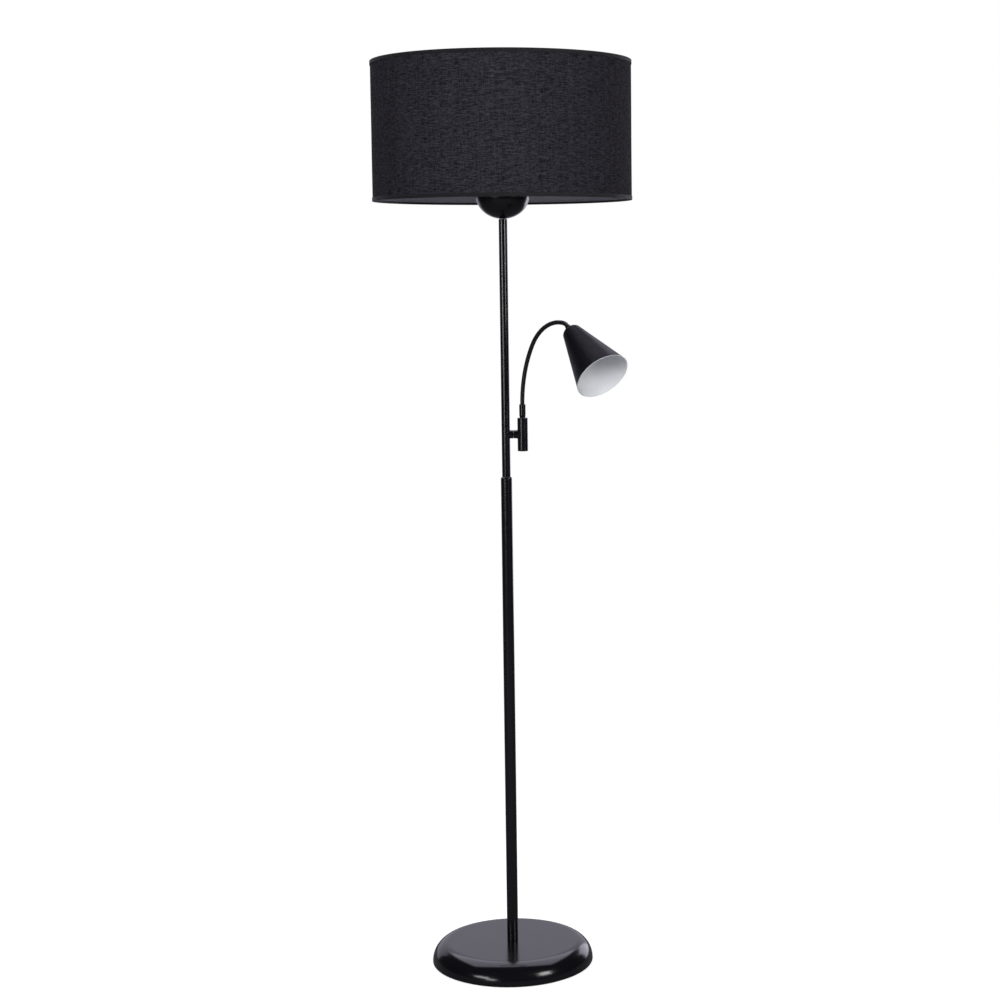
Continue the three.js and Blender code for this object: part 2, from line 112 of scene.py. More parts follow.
def add_lights():
    """Softboxes and bright walls for the gloss, and soft front fill that shows in no gloss."""
    middle = (0, 0, 0.9)
    haze = (0.88, 0.84, 1.0)
    left_low, left_high = around(-32, 0, 5.5, (0, 0, 0.75)), around(-46, 0, 5.5, (0, 0, 1.4))
    right_high = around(46, 0, 3.7, (0, 0, 1.7))
    gloss = [
        add_softbox("left_low", left_low, (0, 0, 0.75), (1.3, 0.6), 7.5),
        add_softbox("left_high", left_high, (0, 0, 1.4), (1.9, 0.7), 8.0),
        add_softbox("right_high", right_high, (0, 0, 1.4), (1.1, 1.1), 10.0),
        add_softbox("wall_right", (2.3, 2.7, 0.85), (0, 0, 0.4), (1.7, 1.7), 1.9, haze),
        add_softbox("overhead", (0, 2.2, 3.4), (0, 2.2, 0), (5.0, 5.0), 2.2, haze),
    ]
    for light in gloss:
        light.visible_diffuse = False
    add_softbox("wall_behind", (0.3, 3.2, 1.15), (0.3, 0, 1.15), (7.0, 2.3), 0.75, haze)
    for side in (-1, 1):
        fill = add_softbox("fill", around(25 * side, 13, 3.2, (0, 0, 1.3)), middle, (1.4, 1.4), 6.8)
        fill.visible_glossy = False


def add_world():
    """White behind the lamp. It lights the lamp with dim grey, and shows darker in its gloss."""
    world = bpy.data.worlds.new("studio")
    world.use_nodes = True
    bpy.context.scene.world = world
    tree = world.node_tree
    dim = tree.nodes["Background"]
    dim.inputs["Color"].default_value = (0.95, 0.95, 1.0, 1)
    white = tree.nodes.new("ShaderNodeBackground")
    white.inputs["Color"].default_value = (1, 1, 1, 1)
    ray = tree.nodes.new("ShaderNodeLightPath")
    strength = tree.nodes.new("ShaderNodeMapRange")
    strength.inputs["To Min"].default_value = 0.15
    strength.inputs["To Max"].default_value = 0.03
    choose = tree.nodes.new("ShaderNodeMixShader")
    tree.links.new(ray.outputs["Is Glossy Ray"], strength.inputs["Value"])
    tree.links.new(strength.outputs["Result"], dim.inputs["Strength"])
    tree.links.new(ray.outputs["Is Camera Ray"], choose.inputs["Fac"])
    tree.links.new(dim.outputs["Background"], choose.inputs[1])
    tree.links.new(white.outputs["Background"], choose.inputs[2])
    tree.links.new(choose.outputs["Shader"], tree.nodes["World Output"].inputs["Surface"])


# ---------------------------------------------------------------- mesh helpers


def span(node):
    """Lowest and highest corner of a CAD node, in millimetres."""
    low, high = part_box(node)
    return low / MM, high / MM


def add_mesh(name, points, faces, crease=35):
    """A new object from points in millimetres. Edges that turn more than crease degrees stay sharp."""
    mesh = bpy.data.meshes.new(name)
    mesh.from_pydata([tuple(Vector(p) * MM) for p in points], [], faces)
    mesh.polygons.foreach_set("use_smooth", [True] * len(mesh.polygons))
    mesh.set_sharp_from_angle(angle=math.radians(crease))
    mesh.update()
    piece = bpy.data.objects.new(name, mesh)
    bpy.context.scene.collection.objects.link(piece)
    return piece


def stitch(rings, close):
    """Faces between neighbouring rings of point numbers; a ring of one point is a tip."""
    faces = []
    pairs = list(zip(rings, rings[1:]))
    if close:
        pairs.append((rings[-1], rings[0]))
    for lower, upper in pairs:
        around_ring = max(len(lower), len(upper))
        for i in range(around_ring):
            j = (i + 1) % around_ring
            corners = [
                lower[i % len(lower)], lower[j % len(lower)],
                upper[j % len(upper)], upper[i % len(upper)],
            ]
            face = list(dict.fromkeys(corners))
            if len(face) > 2:
                faces.append(face)
    return faces


def supported(outline):
    """Adds points just inside the ends of each long straight run, so that it shades as straight."""
    margin, longest = 0.4, 8
    points = []
    for i, (a, b) in enumerate(outline):
        points.append((a, b))
        here, there = Vector((a, b)), Vector(outline[(i + 1) % len(outline)])
        step = there - here
        on_axis = max(a, there.x) < 1e-6
        if step.length > longest and not on_axis:
            inset = step.normalized() * margin
            points += [tuple(here + inset), tuple(there - inset)]
    return points


def lathe(name, outline, place=IN_PLACE, steps=96, crease=35, shape=None):
    """Turns an outline of (radius, height) about the local Z.

    The outline runs up outside and down inside. It starts and ends on the axis, or closes on
    itself. shape(angle, radius, height) may give another radius for each point.
    """
    points, rings = [], []
    for radius, height in supported(outline):
        count = 1 if radius < 1e-6 else steps
        rings.append(range(len(points), len(points) + count))
        for i in range(count):
            angle = 2 * math.pi * i / count
            r = shape(angle, radius, height) if shape and count > 1 else radius
            points.append(place @ Vector((r * math.cos(angle), r * math.sin(angle), height)))
    return add_mesh(name, points, stitch(rings, close=outline[0][0] > 1e-6), crease)


def rounded(corners, steps=5, closed=True):
    """An outline through corners (a, b), with an arc at each corner given as (a, b, fillet)."""
    outline = []
    for i, (a, b, *fillet) in enumerate(corners):
        here = Vector((a, b))
        if not fillet or (not closed and i in (0, len(corners) - 1)):
            outline.append((a, b))
            continue
        back = (Vector(corners[i - 1][:2]) - here).normalized()
        on = (Vector(corners[(i + 1) % len(corners)][:2]) - here).normalized()
        half = back.angle(on) / 2
        centre = here + (back + on).normalized() * fillet[0] / math.sin(half)
        start = here + back * fillet[0] / math.tan(half) - centre
        end = here + on * fillet[0] / math.tan(half) - centre
        turn = math.atan2(start.cross(end), start.dot(end))
        for step in range(steps + 1):
            spoke = Matrix.Rotation(turn * step / steps, 2) @ start
            outline.append(tuple(centre + spoke))
    return outline


def arc(a, b, reach_a, reach_b, start, end, steps):
    """Points on an elliptical arc about (a, b), angles in degrees from the first axis."""
    angles = [math.radians(start + (end - start) * i / steps) for i in range(steps + 1)]
    return [(a + reach_a * math.cos(t), b + reach_b * math.sin(t)) for t in angles]


def sweep(name, path, across, radius, sides=16, crease=35):
    """A round bar along a path that lies in the plane square to across.

    radius is a number, or radius(step, angle) for each point. The ends are flat.
    """
    points, rings = [], []
    for step, here in enumerate(path):
        before, after = path[max(step - 1, 0)], path[min(step + 1, len(path) - 1)]
        up = across.cross(after - before).normalized()
        rings.append(range(len(points), len(points) + sides))
        for i in range(sides):
            angle = 2 * math.pi * i / sides
            r = radius(step, angle) if callable(radius) else radius
            points.append(here + (across * math.cos(angle) + up * math.sin(angle)) * r)
    faces = stitch(rings, close=False)
    faces = [face[::-1] for face in faces]
    faces += [list(rings[0]), list(rings[-1])[::-1]]
    return add_mesh(name, points, faces, crease)


def cross_sleeve(name, rings, centre_height, steps=72):
    """A sleeve along X. Each ring is (radius, x_at), and x_at(y) gives where it stands."""
    points, numbers = [], []
    for radius, x_at in rings:
        numbers.append(range(len(points), len(points) + steps))
        for i in range(steps):
            angle = 2 * math.pi * i / steps
            y, z = radius * math.cos(angle), radius * math.sin(angle)
            points.append(Vector((x_at(y), y, centre_height + z)))
    return add_mesh(name, points, stitch(numbers, close=True))


def flat_at(x):
    return lambda y: x


def on_cylinder(centre_x, radius, side):
    """x on an upright cylinder's surface; side is 1 for its right side and -1 for its left."""
    return lambda y: centre_x + side * math.sqrt(radius * radius - y * y)


def cut(piece, tool):
    """Cuts tool's shape out of piece and removes tool."""
    modifier = piece.modifiers.new("cut", "BOOLEAN")
    modifier.operation = "DIFFERENCE"
    modifier.solver = "EXACT"
    modifier.object = tool
    depsgraph = bpy.context.evaluated_depsgraph_get()
    mesh = bpy.data.meshes.new_from_object(piece.evaluated_get(depsgraph))
    piece.modifiers.clear()
    piece.data = mesh
    bpy.data.objects.remove(tool)


def finish_piece(piece, body, look, slot, *nodes):
    """Gives a piece its material and its body, and hides the CAD nodes that it stands for."""
    piece.data.materials.clear()
    piece.data.materials.append(look)
    if body:
        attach(piece, body)
    if nodes:
        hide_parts(*nodes)
    return piece


# ---------------------------------------------------------------- material helpers


def srgb(red, green, blue):
    """A colour given as 0 to 255 screen values, as the linear values that shaders take."""
    def linear(value):
        value /= 255
        return value / 12.92 if value <= 0.04045 else ((value + 0.055) / 1.055) ** 2.4
    return (linear(red), linear(green), linear(blue), 1)


class Look:
    """A material under construction. Inputs take numbers, colours or other nodes' outputs."""

    def __init__(self, name, roughness=0.5, metallic=0.0, **sockets):
        self.material = bpy.data.materials.new(name)
        self.material.use_nodes = True
        self.tree = self.material.node_tree
        self.shader = self.tree.nodes["Principled BSDF"]
        self.place = self.node("ShaderNodeTexCoord").outputs["Object"]
        self.set("Roughness", roughness)
        self.set("Metallic", metallic)
        for socket, value in sockets.items():
            self.set(socket.replace("_", " ").title().replace("Ior", "IOR"), value)

    def set(self, socket, value):
        self.feed(self.shader.inputs[socket], value)

    def feed(self, socket, value):
        if isinstance(value, bpy.types.NodeSocket):
            self.tree.links.new(value, socket)
        else:
            socket.default_value = value

    def node(self, kind, inputs=(), **settings):
        made = self.tree.nodes.new(kind)
        for setting, value in settings.items():
            setattr(made, setting, value)
        for socket, value in dict(inputs).items():
            self.feed(made.inputs[socket], value)
        return made

    def math(self, operation, a, b=0.0, clamp=False):
        made = self.node("ShaderNodeMath", {0: a, 1: b}, operation=operation, use_clamp=clamp)
        return made.outputs["Value"]

    def noise(self, size, detail=2.0, stretch=(1, 1, 1), contrast=0.5):
        """Noise from 0 to 1 with features about size millimetres across, longer where stretched."""
        scale = tuple(1 / (size * MM * s) for s in stretch)
        placed = self.node("ShaderNodeVectorMath", {0: self.place, 1: scale}, operation="MULTIPLY")
        made = self.node("ShaderNodeTexNoise", {
            "Vector": placed.outputs["Vector"], "Scale": 1.0, "Detail": detail, "Roughness": contrast,
        })
        return made.outputs["Fac"]

    def between(self, value, low, high, start=0.25, end=0.75):
        """Maps value from start..end to low..high."""
        made = self.node("ShaderNodeMapRange", {
            "Value": value, "From Min": start, "From Max": end, "To Min": low, "To Max": high,
        })
        return made.outputs["Result"]

    def mix(self, share, first, second):
        made = self.node("ShaderNodeMix", {0: share, 6: first, 7: second}, data_type="RGBA")
        return made.outputs[2]

    def bump(self, height, depth, under=None):
        """Raises the surface by height times depth millimetres, over another bump if given."""
        inputs = {"Height": height, "Distance": depth * MM, "Strength": 1.0}
        if under is not None:
            inputs["Normal"] = under
        normal = self.node("ShaderNodeBump", inputs).outputs["Normal"]
        self.set("Normal", normal)
        return normal


def painted(name, colour, roughness, peel_size, peel_depth, **sockets):
    """Sprayed or powder paint: orange peel, and a little change of gloss and colour."""
    look = Look(name, **sockets)
    cloud = look.noise(60, 3)
    lighter = tuple(min(1, c * 1.25 + 0.0006) for c in colour[:3]) + (1,)
    look.set("Base Color", look.mix(cloud, colour, lighter))
    smear = look.noise(14, 4)
    look.set("Roughness", look.between(smear, roughness * 0.88, roughness * 1.12))
    look.bump(look.noise(peel_size, 1), peel_depth)
    return look.material


def moulded(name, colour, roughness, grain=0.5, depth=0.02, **sockets):
    """Moulded plastic, rubber or ceramic with a fine grain."""
    look = Look(name, **sockets)
    darker = tuple(c * 0.86 for c in colour[:3]) + (1,)
    look.set("Base Color", look.mix(look.noise(25, 3), darker, colour))
    look.set("Roughness", look.between(look.noise(4, 3), roughness * 0.9, roughness * 1.1))
    look.bump(look.noise(grain, 2), depth)
    return look.material


def plated(name, colour, roughness, streak=(1, 1, 12)):
    """Bare or plated metal with fine drawn streaks."""
    look = Look(name, metallic=1.0)
    duller = tuple(c * 0.78 for c in colour[:3]) + (1,)
    look.set("Base Color", look.mix(look.noise(6, 4), duller, colour))
    streaks = look.noise(0.5, 3, streak)
    look.set("Roughness", look.between(streaks, roughness * 0.75, roughness * 1.3))
    look.bump(streaks, 0.01)
    return look.material


def cast_iron():
    look = Look("look_cast_iron", metallic=0.6)
    sand = look.noise(1.4, 5)
    look.set("Base Color", look.mix(sand, srgb(52, 50, 50), srgb(92, 90, 90)))
    look.set("Roughness", look.between(look.noise(9, 3), 0.65, 0.9))
    look.bump(sand, 0.4)
    return look.material


def felt():
    look = Look("look_felt", roughness=0.95, sheen_weight=0.3, sheen_roughness=0.6)
    fibres = look.noise(0.5, 4, (1, 6, 1))
    crossed = look.noise(0.5, 4, (6, 1, 1))
    tangle = look.math("MAXIMUM", fibres, crossed)
    share = look.between(tangle, 0, 1, 0.4, 0.75)
    look.set("Base Color", look.mix(share, srgb(34, 34, 36), srgb(62, 62, 66)))
    look.bump(tangle, 0.3)
    return look.material


WARPS = 2000  # upright threads round the drum
WEFT_PITCH = 0.7


def cloth_threads(look):
    """Plain weave on an upright drum: the warps stand round it, and the wefts run round it."""
    axes = look.node("ShaderNodeSeparateXYZ", {"Vector": look.place}).outputs
    angle = look.math("ARCTAN2", axes["Y"], axes["X"])
    warp = look.math("SINE", look.math("MULTIPLY", angle, WARPS / 2))
    weft = look.math("SINE", look.math("MULTIPLY", axes["Z"], math.pi / (WEFT_PITCH * MM)))
    over = look.math("MULTIPLY", look.math("MULTIPLY", warp, weft), 0.4)
    warp_top = look.math("MULTIPLY", look.math("ABSOLUTE", warp), look.math("ADD", 0.6, over))
    weft_top = look.math("MULTIPLY", look.math("ABSOLUTE", weft), look.math("SUBTRACT", 0.6, over))
    return look.math("MAXIMUM", warp_top, weft_top)


def shade_cloth_look():
    """Black linen-like cloth with slubs along both threads."""
    look = Look("look_shade_cloth", roughness=0.85, specular_ior_level=0.06)
    threads = cloth_threads(look)
    lying = look.noise(1.5, 2, (7, 7, 1))
    specks = look.noise(1.3, 1, (1.3, 1.3, 1))
    standing = look.noise(1.4, 2, (1, 1, 9))
    bands = look.noise(5, 2, (1, 1, 60))
    slubs = look.between(lying, 0, 0.65, 0.38, 0.68)
    slubs = look.math("ADD", slubs, look.between(specks, -0.1, 0.5, 0.35, 0.7))
    slubs = look.math("ADD", slubs, look.between(standing, 0, 0.3, 0.35, 0.7))
    slubs = look.math("ADD", slubs, look.between(bands, -0.06, 0.06, 0.35, 0.65))
    light = look.math("MULTIPLY", slubs, look.between(threads, 0.45, 1.15, 0.1, 0.9))
    look.set("Base Color", look.mix(light, srgb(12, 11, 15), srgb(69, 67, 76)))
    cloth = look.bump(threads, 0.18)
    look.bump(slubs, 0.12, cloth)
    return look.material


def edging_look():
    """Black woven tape, its ribs across the tape."""
    look = Look("look_edging", roughness=0.7, sheen_weight=0.08, sheen_roughness=0.4)
    axes = look.node("ShaderNodeSeparateXYZ", {"Vector": look.place}).outputs
    angle = look.math("ARCTAN2", axes["Y"], axes["X"])
    ribs = look.math("ABSOLUTE", look.math("SINE", look.math("MULTIPLY", angle, 900)))
    uneven = look.noise(1.2, 3)
    light = look.math("MULTIPLY", ribs, uneven)
    look.set("Base Color", look.mix(light, srgb(11, 11, 14), srgb(36, 35, 42)))
    look.bump(ribs, 0.08)
    return look.material


def lining_look_with_painted_shade():
    """Pale film behind the cloth, which shows the threads faintly. Its grey is darker than the film's
    real white: painted shade for the dim inside of the drum.
    """
    look = Look("look_lining_painted_shade", roughness=0.55)
    streaks = look.noise(1.2, 3, (14, 14, 1))
    # painted shade: this faintly blue grey stands for the white film lying in shade inside the drum
    look.set("Base Color", look.mix(streaks, srgb(186, 186, 194), srgb(206, 206, 212)))
    look.bump(cloth_threads(look), 0.02)
    return look.material


def opal(name, colour):
    """Diffusing plastic or glass, lit through from behind a little."""
    look = Look(name, subsurface_weight=0.35, subsurface_scale=0.004)
    duller = tuple(c * 0.94 for c in colour[:3]) + (1,)
    look.set("Base Color", look.mix(look.noise(20, 2), duller, colour))
    look.set("Roughness", look.between(look.noise(3, 2), 0.24, 0.34))
    look.bump(look.noise(2, 2), 0.01)
    return look.material


def make_looks():
    """One material for each of the record's slots, by slot name."""
    paint = srgb(13, 12, 17)
    return {
        "black_paint": painted("look_black_paint", paint, 0.2, 8, 0.003),
        "gloss_black": painted("look_gloss_black", srgb(14, 13, 18), 0.165, 16, 0.006),
        "head_paint": painted(
            "look_head_paint", srgb(17, 16, 21), 0.42, 6, 0.004, specular_ior_level=0.1),
        "black_hose": moulded("look_black_hose", srgb(24, 24, 27), 0.38, 0.6, 0.01),
        "black_fabric": shade_cloth_look(),
        "trim_tape": edging_look(),
        "white_liner": lining_look_with_painted_shade(),
        "zinc_steel": plated("look_zinc_steel", srgb(205, 207, 210), 0.32),
        "cast_weight": cast_iron(),
        "felt": felt(),
        "black_rubber": moulded("look_black_rubber", srgb(20, 20, 21), 0.7, 0.8, 0.03),
        "black_plastic": moulded("look_black_plastic", srgb(26, 26, 28), 0.42, 0.5, 0.03),
        "white_plastic": moulded("look_white_plastic", srgb(232, 232, 230), 0.35, 0.6, 0.01),
        "white_ceramic": moulded("look_white_ceramic", srgb(230, 228, 221), 0.5, 0.7, 0.03),
        "opal_diffuser": opal("look_opal_diffuser", srgb(246, 245, 240)),
        "brass": plated("look_brass", srgb(214, 178, 102), 0.25),
        "wire_sleeve": moulded("look_wire_sleeve", srgb(30, 30, 33), 0.5, 0.6, 0.01),
    }


def head_enamel_look():
    return painted("look_head_enamel", srgb(234, 237, 244), 0.42, 1.3, 0.015)


def floor_look():
    """Pale floor. The camera sees it lifted to the white behind it, and the lamp sees it dim."""
    look = Look("look_floor")
    diffuse = look.node("ShaderNodeBsdfDiffuse", {
        "Color": look.mix(look.noise(400, 2), srgb(228, 228, 228), srgb(234, 234, 234)),
    })
    dimmed = look.node("ShaderNodeBsdfDiffuse", {"Color": srgb(138, 138, 142)})
    lift = look.node("ShaderNodeEmission", {"Color": (1, 1, 1, 1), "Strength": 0.78})
    white = look.node("ShaderNodeEmission", {"Color": (1, 1, 1, 1), "Strength": 1.0})
    near = look.node("ShaderNodeAddShader")
    look.tree.links.new(diffuse.outputs["BSDF"], near.inputs[0])
    look.tree.links.new(lift.outputs["Emission"], near.inputs[1])
    distance = look.node("ShaderNodeVectorMath", {0: look.place}, operation="LENGTH").outputs["Value"]
    seen = look.node("ShaderNodeMixShader", {"Fac": look.between(distance, 0, 1, 0.5, 1.6)})
    look.tree.links.new(near.outputs["Shader"], seen.inputs[1])
    look.tree.links.new(white.outputs["Emission"], seen.inputs[2])
    ray = look.node("ShaderNodeLightPath")
    choose = look.node("ShaderNodeMixShader", {"Fac": ray.outputs["Is Camera Ray"]})
    look.tree.links.new(dimmed.outputs["BSDF"], choose.inputs[1])
    look.tree.links.new(seen.outputs["Shader"], choose.inputs[2])
    surface = look.tree.nodes["Material Output"].inputs["Surface"]
    look.tree.links.new(choose.outputs["Shader"], surface)
    return look.material


def add_floor():
    reach = 9000
    corners = [(-reach, -reach, 0), (reach, -reach, 0), (reach, reach, 0), (-reach, reach, 0)]
    floor = add_mesh("floor", corners, [(0, 1, 2, 3)])
    floor.data.materials.append(floor_look())


# ---------------------------------------------------------------- base

BASE_EDGE = 5  # height where the base is widest
BASE_SHOULDER = 30
BASE_TUCK = 4
BASE_WALL = 1.5
BASE_LIP = 5  # how far the bottom edge is rolled in


def base_profile(radius, bottom, top, inset, steps):
    """The rounded edge from the foot out to the widest place and in over the top."""
    foot_height = BASE_EDGE - bottom - inset
    foot = arc(radius - BASE_TUCK, BASE_EDGE, BASE_TUCK - inset, foot_height, -90, 0, steps)
    reach, rise = BASE_SHOULDER - inset, top - BASE_EDGE - inset
    shoulder = arc(radius - BASE_SHOULDER, BASE_EDGE, reach, rise, 0, 90, 3 * steps)
    return foot + shoulder[1:]


def build_base(looks):
    low, high = span("base_cover")
    hole = span("base_nipple")[1].x + 0.3
    lip = high.x - BASE_TUCK - BASE_LIP
    outline = [
        (lip, low.z),
        *base_profile(high.x, low.z, high.z, 0, 10), (hole, high.z), (hole, high.z - BASE_WALL),
        *base_profile(high.x, low.z, high.z, BASE_WALL, 6)[::-1],
        (lip, low.z + BASE_WALL),
    ]
    shell = lathe("base_shell", outline, steps=192, crease=50)

    back_low, back_high = span("cable_grommet")
    inlet_height = (back_low.z + back_high.z) / 2
    backwards = Matrix.Translation((0, 0, inlet_height)) @ Matrix.Rotation(-math.pi / 2, 4, "X")
    cut(shell, lathe("inlet_cutter", [(0, 120), (5.2, 120), (5.2, 160), (0, 160)], backwards, 48))
    finish_piece(shell, "stand", looks["gloss_black"], "gloss_black", "base_cover")

    flange = 6.8
    sleeve = 5
    bore = 3.2
    flange_start = back_high.y - 6.2
    grommet = lathe("inlet_grommet", rounded([
        (sleeve, back_low.y, 0.6), (sleeve, flange_start), (flange, flange_start),
        (flange, back_high.y, 1.4), (bore, back_high.y, 0.9), (bore, back_low.y, 0.5),
    ]), backwards, 48)
    finish_piece(grommet, "stand", looks["black_rubber"], "black_rubber", "cable_grommet")

    low, high = span("base_felt_pad")
    pad = lathe("floor_pad", rounded([
        (0, low.z), (high.x, low.z, 0.8), (high.x, high.z, 0.6), (0, high.z),
    ], closed=False), steps=128)
    finish_piece(pad, "stand", looks["felt"], "felt", "base_felt_pad")


# ---------------------------------------------------------------- pole

LOWER_WALL = 1.2
UPPER_WALL = 1.0


def tube_outline(radius, wall, bottom, top, fillet=0.3):
    inner = radius - wall
    return rounded([(radius, bottom, fillet), (radius, top, fillet), (inner, top), (inner, bottom)], 3)


def build_pole(looks):
    paint = looks["black_paint"]
    low, high = span("lower_tube")
    lower_radius, seat = high.x, high.z
    lower = lathe("lower_pole", tube_outline(lower_radius, LOWER_WALL, low.z, high.z))
    finish_piece(lower, "stand", paint, "black_paint", "lower_tube")

    low, high = span("upper_tube")
    upper_radius, upper_bottom = high.x, low.z
    upper = lathe("upper_pole", tube_outline(upper_radius, UPPER_WALL, low.z, high.z))
    finish_piece(upper, "stand", paint, "black_paint", "upper_tube")

    low, high = span("tube_reducer")
    gap = 0.3
    bore = 2.4
    lower_spigot = lower_radius - LOWER_WALL - gap
    upper_spigot = upper_radius - UPPER_WALL - gap
    cone_low, cone_high = seat + gap, upper_bottom - gap
    reducer = lathe("pole_reducer", rounded([
        (lower_spigot, low.z, 0.5), (lower_spigot, cone_low), (lower_radius, cone_low, 0.15),
        (lower_radius, cone_low + 1.2, 1.2), (upper_radius, cone_high, 0.6), (upper_spigot, cone_high),
        (upper_spigot, high.z, 0.5), (bore, high.z), (bore, low.z),
    ]))
    finish_piece(reducer, "stand", paint, "black_paint", "tube_reducer")


# ---------------------------------------------------------------- bowl, lampholder and bulb

BOWL_DEPTH = 41.5
BOWL_WALL = 1.5
NIPPLE_HOLE = 4.3


def build_bowl(looks):
    low, high = span("bowl")
    radius = high.x
    hole_angle = -math.degrees(math.acos(NIPPLE_HOLE / radius))
    middle = low.z - BOWL_DEPTH * math.sin(math.radians(hole_angle))
    inner = radius - BOWL_WALL
    outside = arc(0, middle, radius, BOWL_DEPTH, hole_angle, 0, 36)
    inside = arc(0, middle, inner, BOWL_DEPTH - BOWL_WALL, 0, hole_angle, 24)
    rim = rounded([
        (radius, middle), (radius, high.z, 0.7), (inner, high.z, 0.7), (inner, middle),
    ], 5, closed=False)
    bowl = lathe("shade_bowl", outside[:-1] + rim + inside[1:], steps=144)
    finish_piece(bowl, "stand", looks["black_paint"], "black_paint", "bowl")


def fluted(count, depth, low, high):
    """A shape for lathe(): round flutes between two heights, on the outside only."""
    def radius_at(angle, radius, height):
        if not low < height < high or radius < 18:
            return radius
        return radius - depth * (0.5 + 0.5 * math.cos(count * angle)) ** 2
    return radius_at


def build_lampholder(looks):
    plastic = looks["black_plastic"]
    low, high = span("lampholder_cap")
    radius, wall, hole = high.x, 2.2, NIPPLE_HOLE
    cap = lathe("holder_cap", rounded([
        (hole, low.z), (radius, low.z, 4), (radius, low.z + 6), (radius, high.z - 5),
        (radius, high.z, 0.4), (radius - wall, high.z), (radius - wall, low.z + wall + 2),
        (hole, low.z + wall),
    ]), steps=240, shape=fluted(30, 0.7, low.z + 5, high.z - 4))
    finish_piece(cap, "stand", plastic, "black_plastic", "lampholder_cap")

    low, high = span("lampholder_skirt")
    flange, flange_bottom, flange_top, pitch = high.x, 1393, 1397.7, 2.4
    root = radius - 0.55
    threads = []
    height = flange_top + 0.4
    while height < high.z - pitch:
        threads += [
            (root, height), (radius, height + 0.8), (radius, height + 1.5), (root, height + 2.2),
        ]
        height += pitch
    skirt = lathe("holder_skirt", [
        *rounded([
            (radius - wall, low.z), (radius, low.z, 0.4), (radius, flange_bottom),
            (flange, flange_bottom, 0.5), (flange, flange_top, 0.5), (root, flange_top),
        ], closed=False),
        *threads, (root, high.z), (radius - wall, high.z),
    ], steps=120)
    finish_piece(skirt, "stand", plastic, "black_plastic", "lampholder_skirt")

    low, high = span("shade_ring_nut")
    inner = radius + 0.3
    nut = lathe("ring_nut", rounded([
        (high.x, low.z, 0.6), (high.x, low.z + 1.4), (high.x, high.z - 1.4), (high.x, high.z, 0.6),
        (inner, high.z, 0.4), (inner, low.z),
    ]), steps=320, shape=fluted(40, 0.8, low.z + 0.7, high.z - 0.7))
    finish_piece(nut, "stand", plastic, "black_plastic", "shade_ring_nut")


def build_bulb(looks):
    low, high = span("bulb_housing")
    housing = lathe("bulb_body", rounded([
        (0, low.z), (14, low.z, 0.5), (15.2, low.z + 6, 4), (20.5, high.z - 9, 12),
        (high.x, high.z, 0.6), (0, high.z),
    ], 8, closed=False), steps=96)
    finish_piece(housing, "stand", looks["white_plastic"], "white_plastic", "bulb_housing")

    low, high = span("bulb_globe")
    globe_radius, wall = 30, 1.6
    centre = high.z - globe_radius
    mouth = -28
    inner = globe_radius - wall
    outside = arc(0, centre, globe_radius, globe_radius, mouth, 90, 30)[:-1]
    inside = arc(0, centre, inner, inner, 90, mouth, 20)[1:]
    globe = lathe("bulb_dome", [(0, centre + inner), *inside, *outside, (0, high.z)], steps=96)
    finish_piece(globe, "stand", looks["opal_diffuser"], "opal_diffuser", "bulb_globe")


# ---------------------------------------------------------------- shade

TAPE = 0.5  # the edging tape's thickness
TAPE_OUTSIDE = 6.4
TAPE_INSIDE = 3.6
SEAM_OVERLAP = 10


def ripple(angle, height):
    """How far the stretched cloth stands out of true, in millimetres."""
    slow = math.sin(5 * angle + height / 90) * math.sin(height / 70 + 1.3)
    quick = math.sin(13 * angle + 2.0 + height / 55) * math.sin(height / 41)
    return 0.1 * slow + 0.06 * quick


def drum_cloth(name, inner, outer, low, high):
    rows = 30
    heights = [low + (high - low) * i / rows for i in range(rows + 1)]
    outline = [(outer, z) for z in heights] + [(inner, z) for z in heights[::-1]]
    return lathe(name, outline, steps=288, shape=lambda angle, r, z: r + ripple(angle, z))


def edging(name, inner, outer, edge, up, node, looks):
    """A channel of tape folded round one edge of the drum; up is 1 at the bottom, -1 at the top."""
    corners = [
        (inner, edge, 0.45), (outer, edge, 0.5), (outer, edge + up * TAPE_OUTSIDE, 0.2),
        (outer - TAPE, edge + up * TAPE_OUTSIDE, 0.1), (outer - TAPE, edge + up * TAPE),
        (inner + TAPE, edge + up * TAPE), (inner + TAPE, edge + up * TAPE_INSIDE, 0.1),
        (inner, edge + up * TAPE_INSIDE, 0.1),
    ]
    tape = lathe(name, rounded(corners if up > 0 else corners[::-1], 4), steps=288)
    return finish_piece(tape, "stand", looks["trim_tape"], "trim_tape", node)


def build_seam(skin, low, high, looks):
    """The cloth's overlap at the back: a strip that stands one cloth's thickness proud."""
    half = SEAM_OVERLAP / 2 / skin
    lift = 0.45
    columns, rows = 10, 30
    points, rings = [], []
    for row in range(rows + 1):
        z = low + (high - low) * row / rows
        ring = []
        for side in (0, 1):
            for column in range(columns + 1):
                share = column / columns if side == 0 else 1 - column / columns
                angle = math.pi / 2 + half * (2 * share - 1)
                edge = min(share, 1 - share) * columns
                proud = lift * min(1, edge) if side == 0 else -0.2
                r = skin + ripple(angle, z) + proud
                ring.append(len(points))
                points.append((r * math.cos(angle), r * math.sin(angle), z))
        rings.append(ring)
    faces = stitch(rings, close=False) + [rings[0][::-1], rings[-1]]
    seam = add_mesh("shade_seam", points, faces)
    return finish_piece(seam, "stand", looks["black_fabric"], "black_fabric")


def hoop(name, node, radius, looks):
    """A round wire ring at the height of its CAD node."""
    low, high = span(node)
    wire = (high.z - low.z) / 2
    outline = arc(radius, low.z + wire, wire, wire, 0, 360, 16)[:-1]
    ring = lathe(name, outline, steps=240, crease=60)
    return finish_piece(ring, "stand", looks["zinc_steel"], "zinc_steel", node)


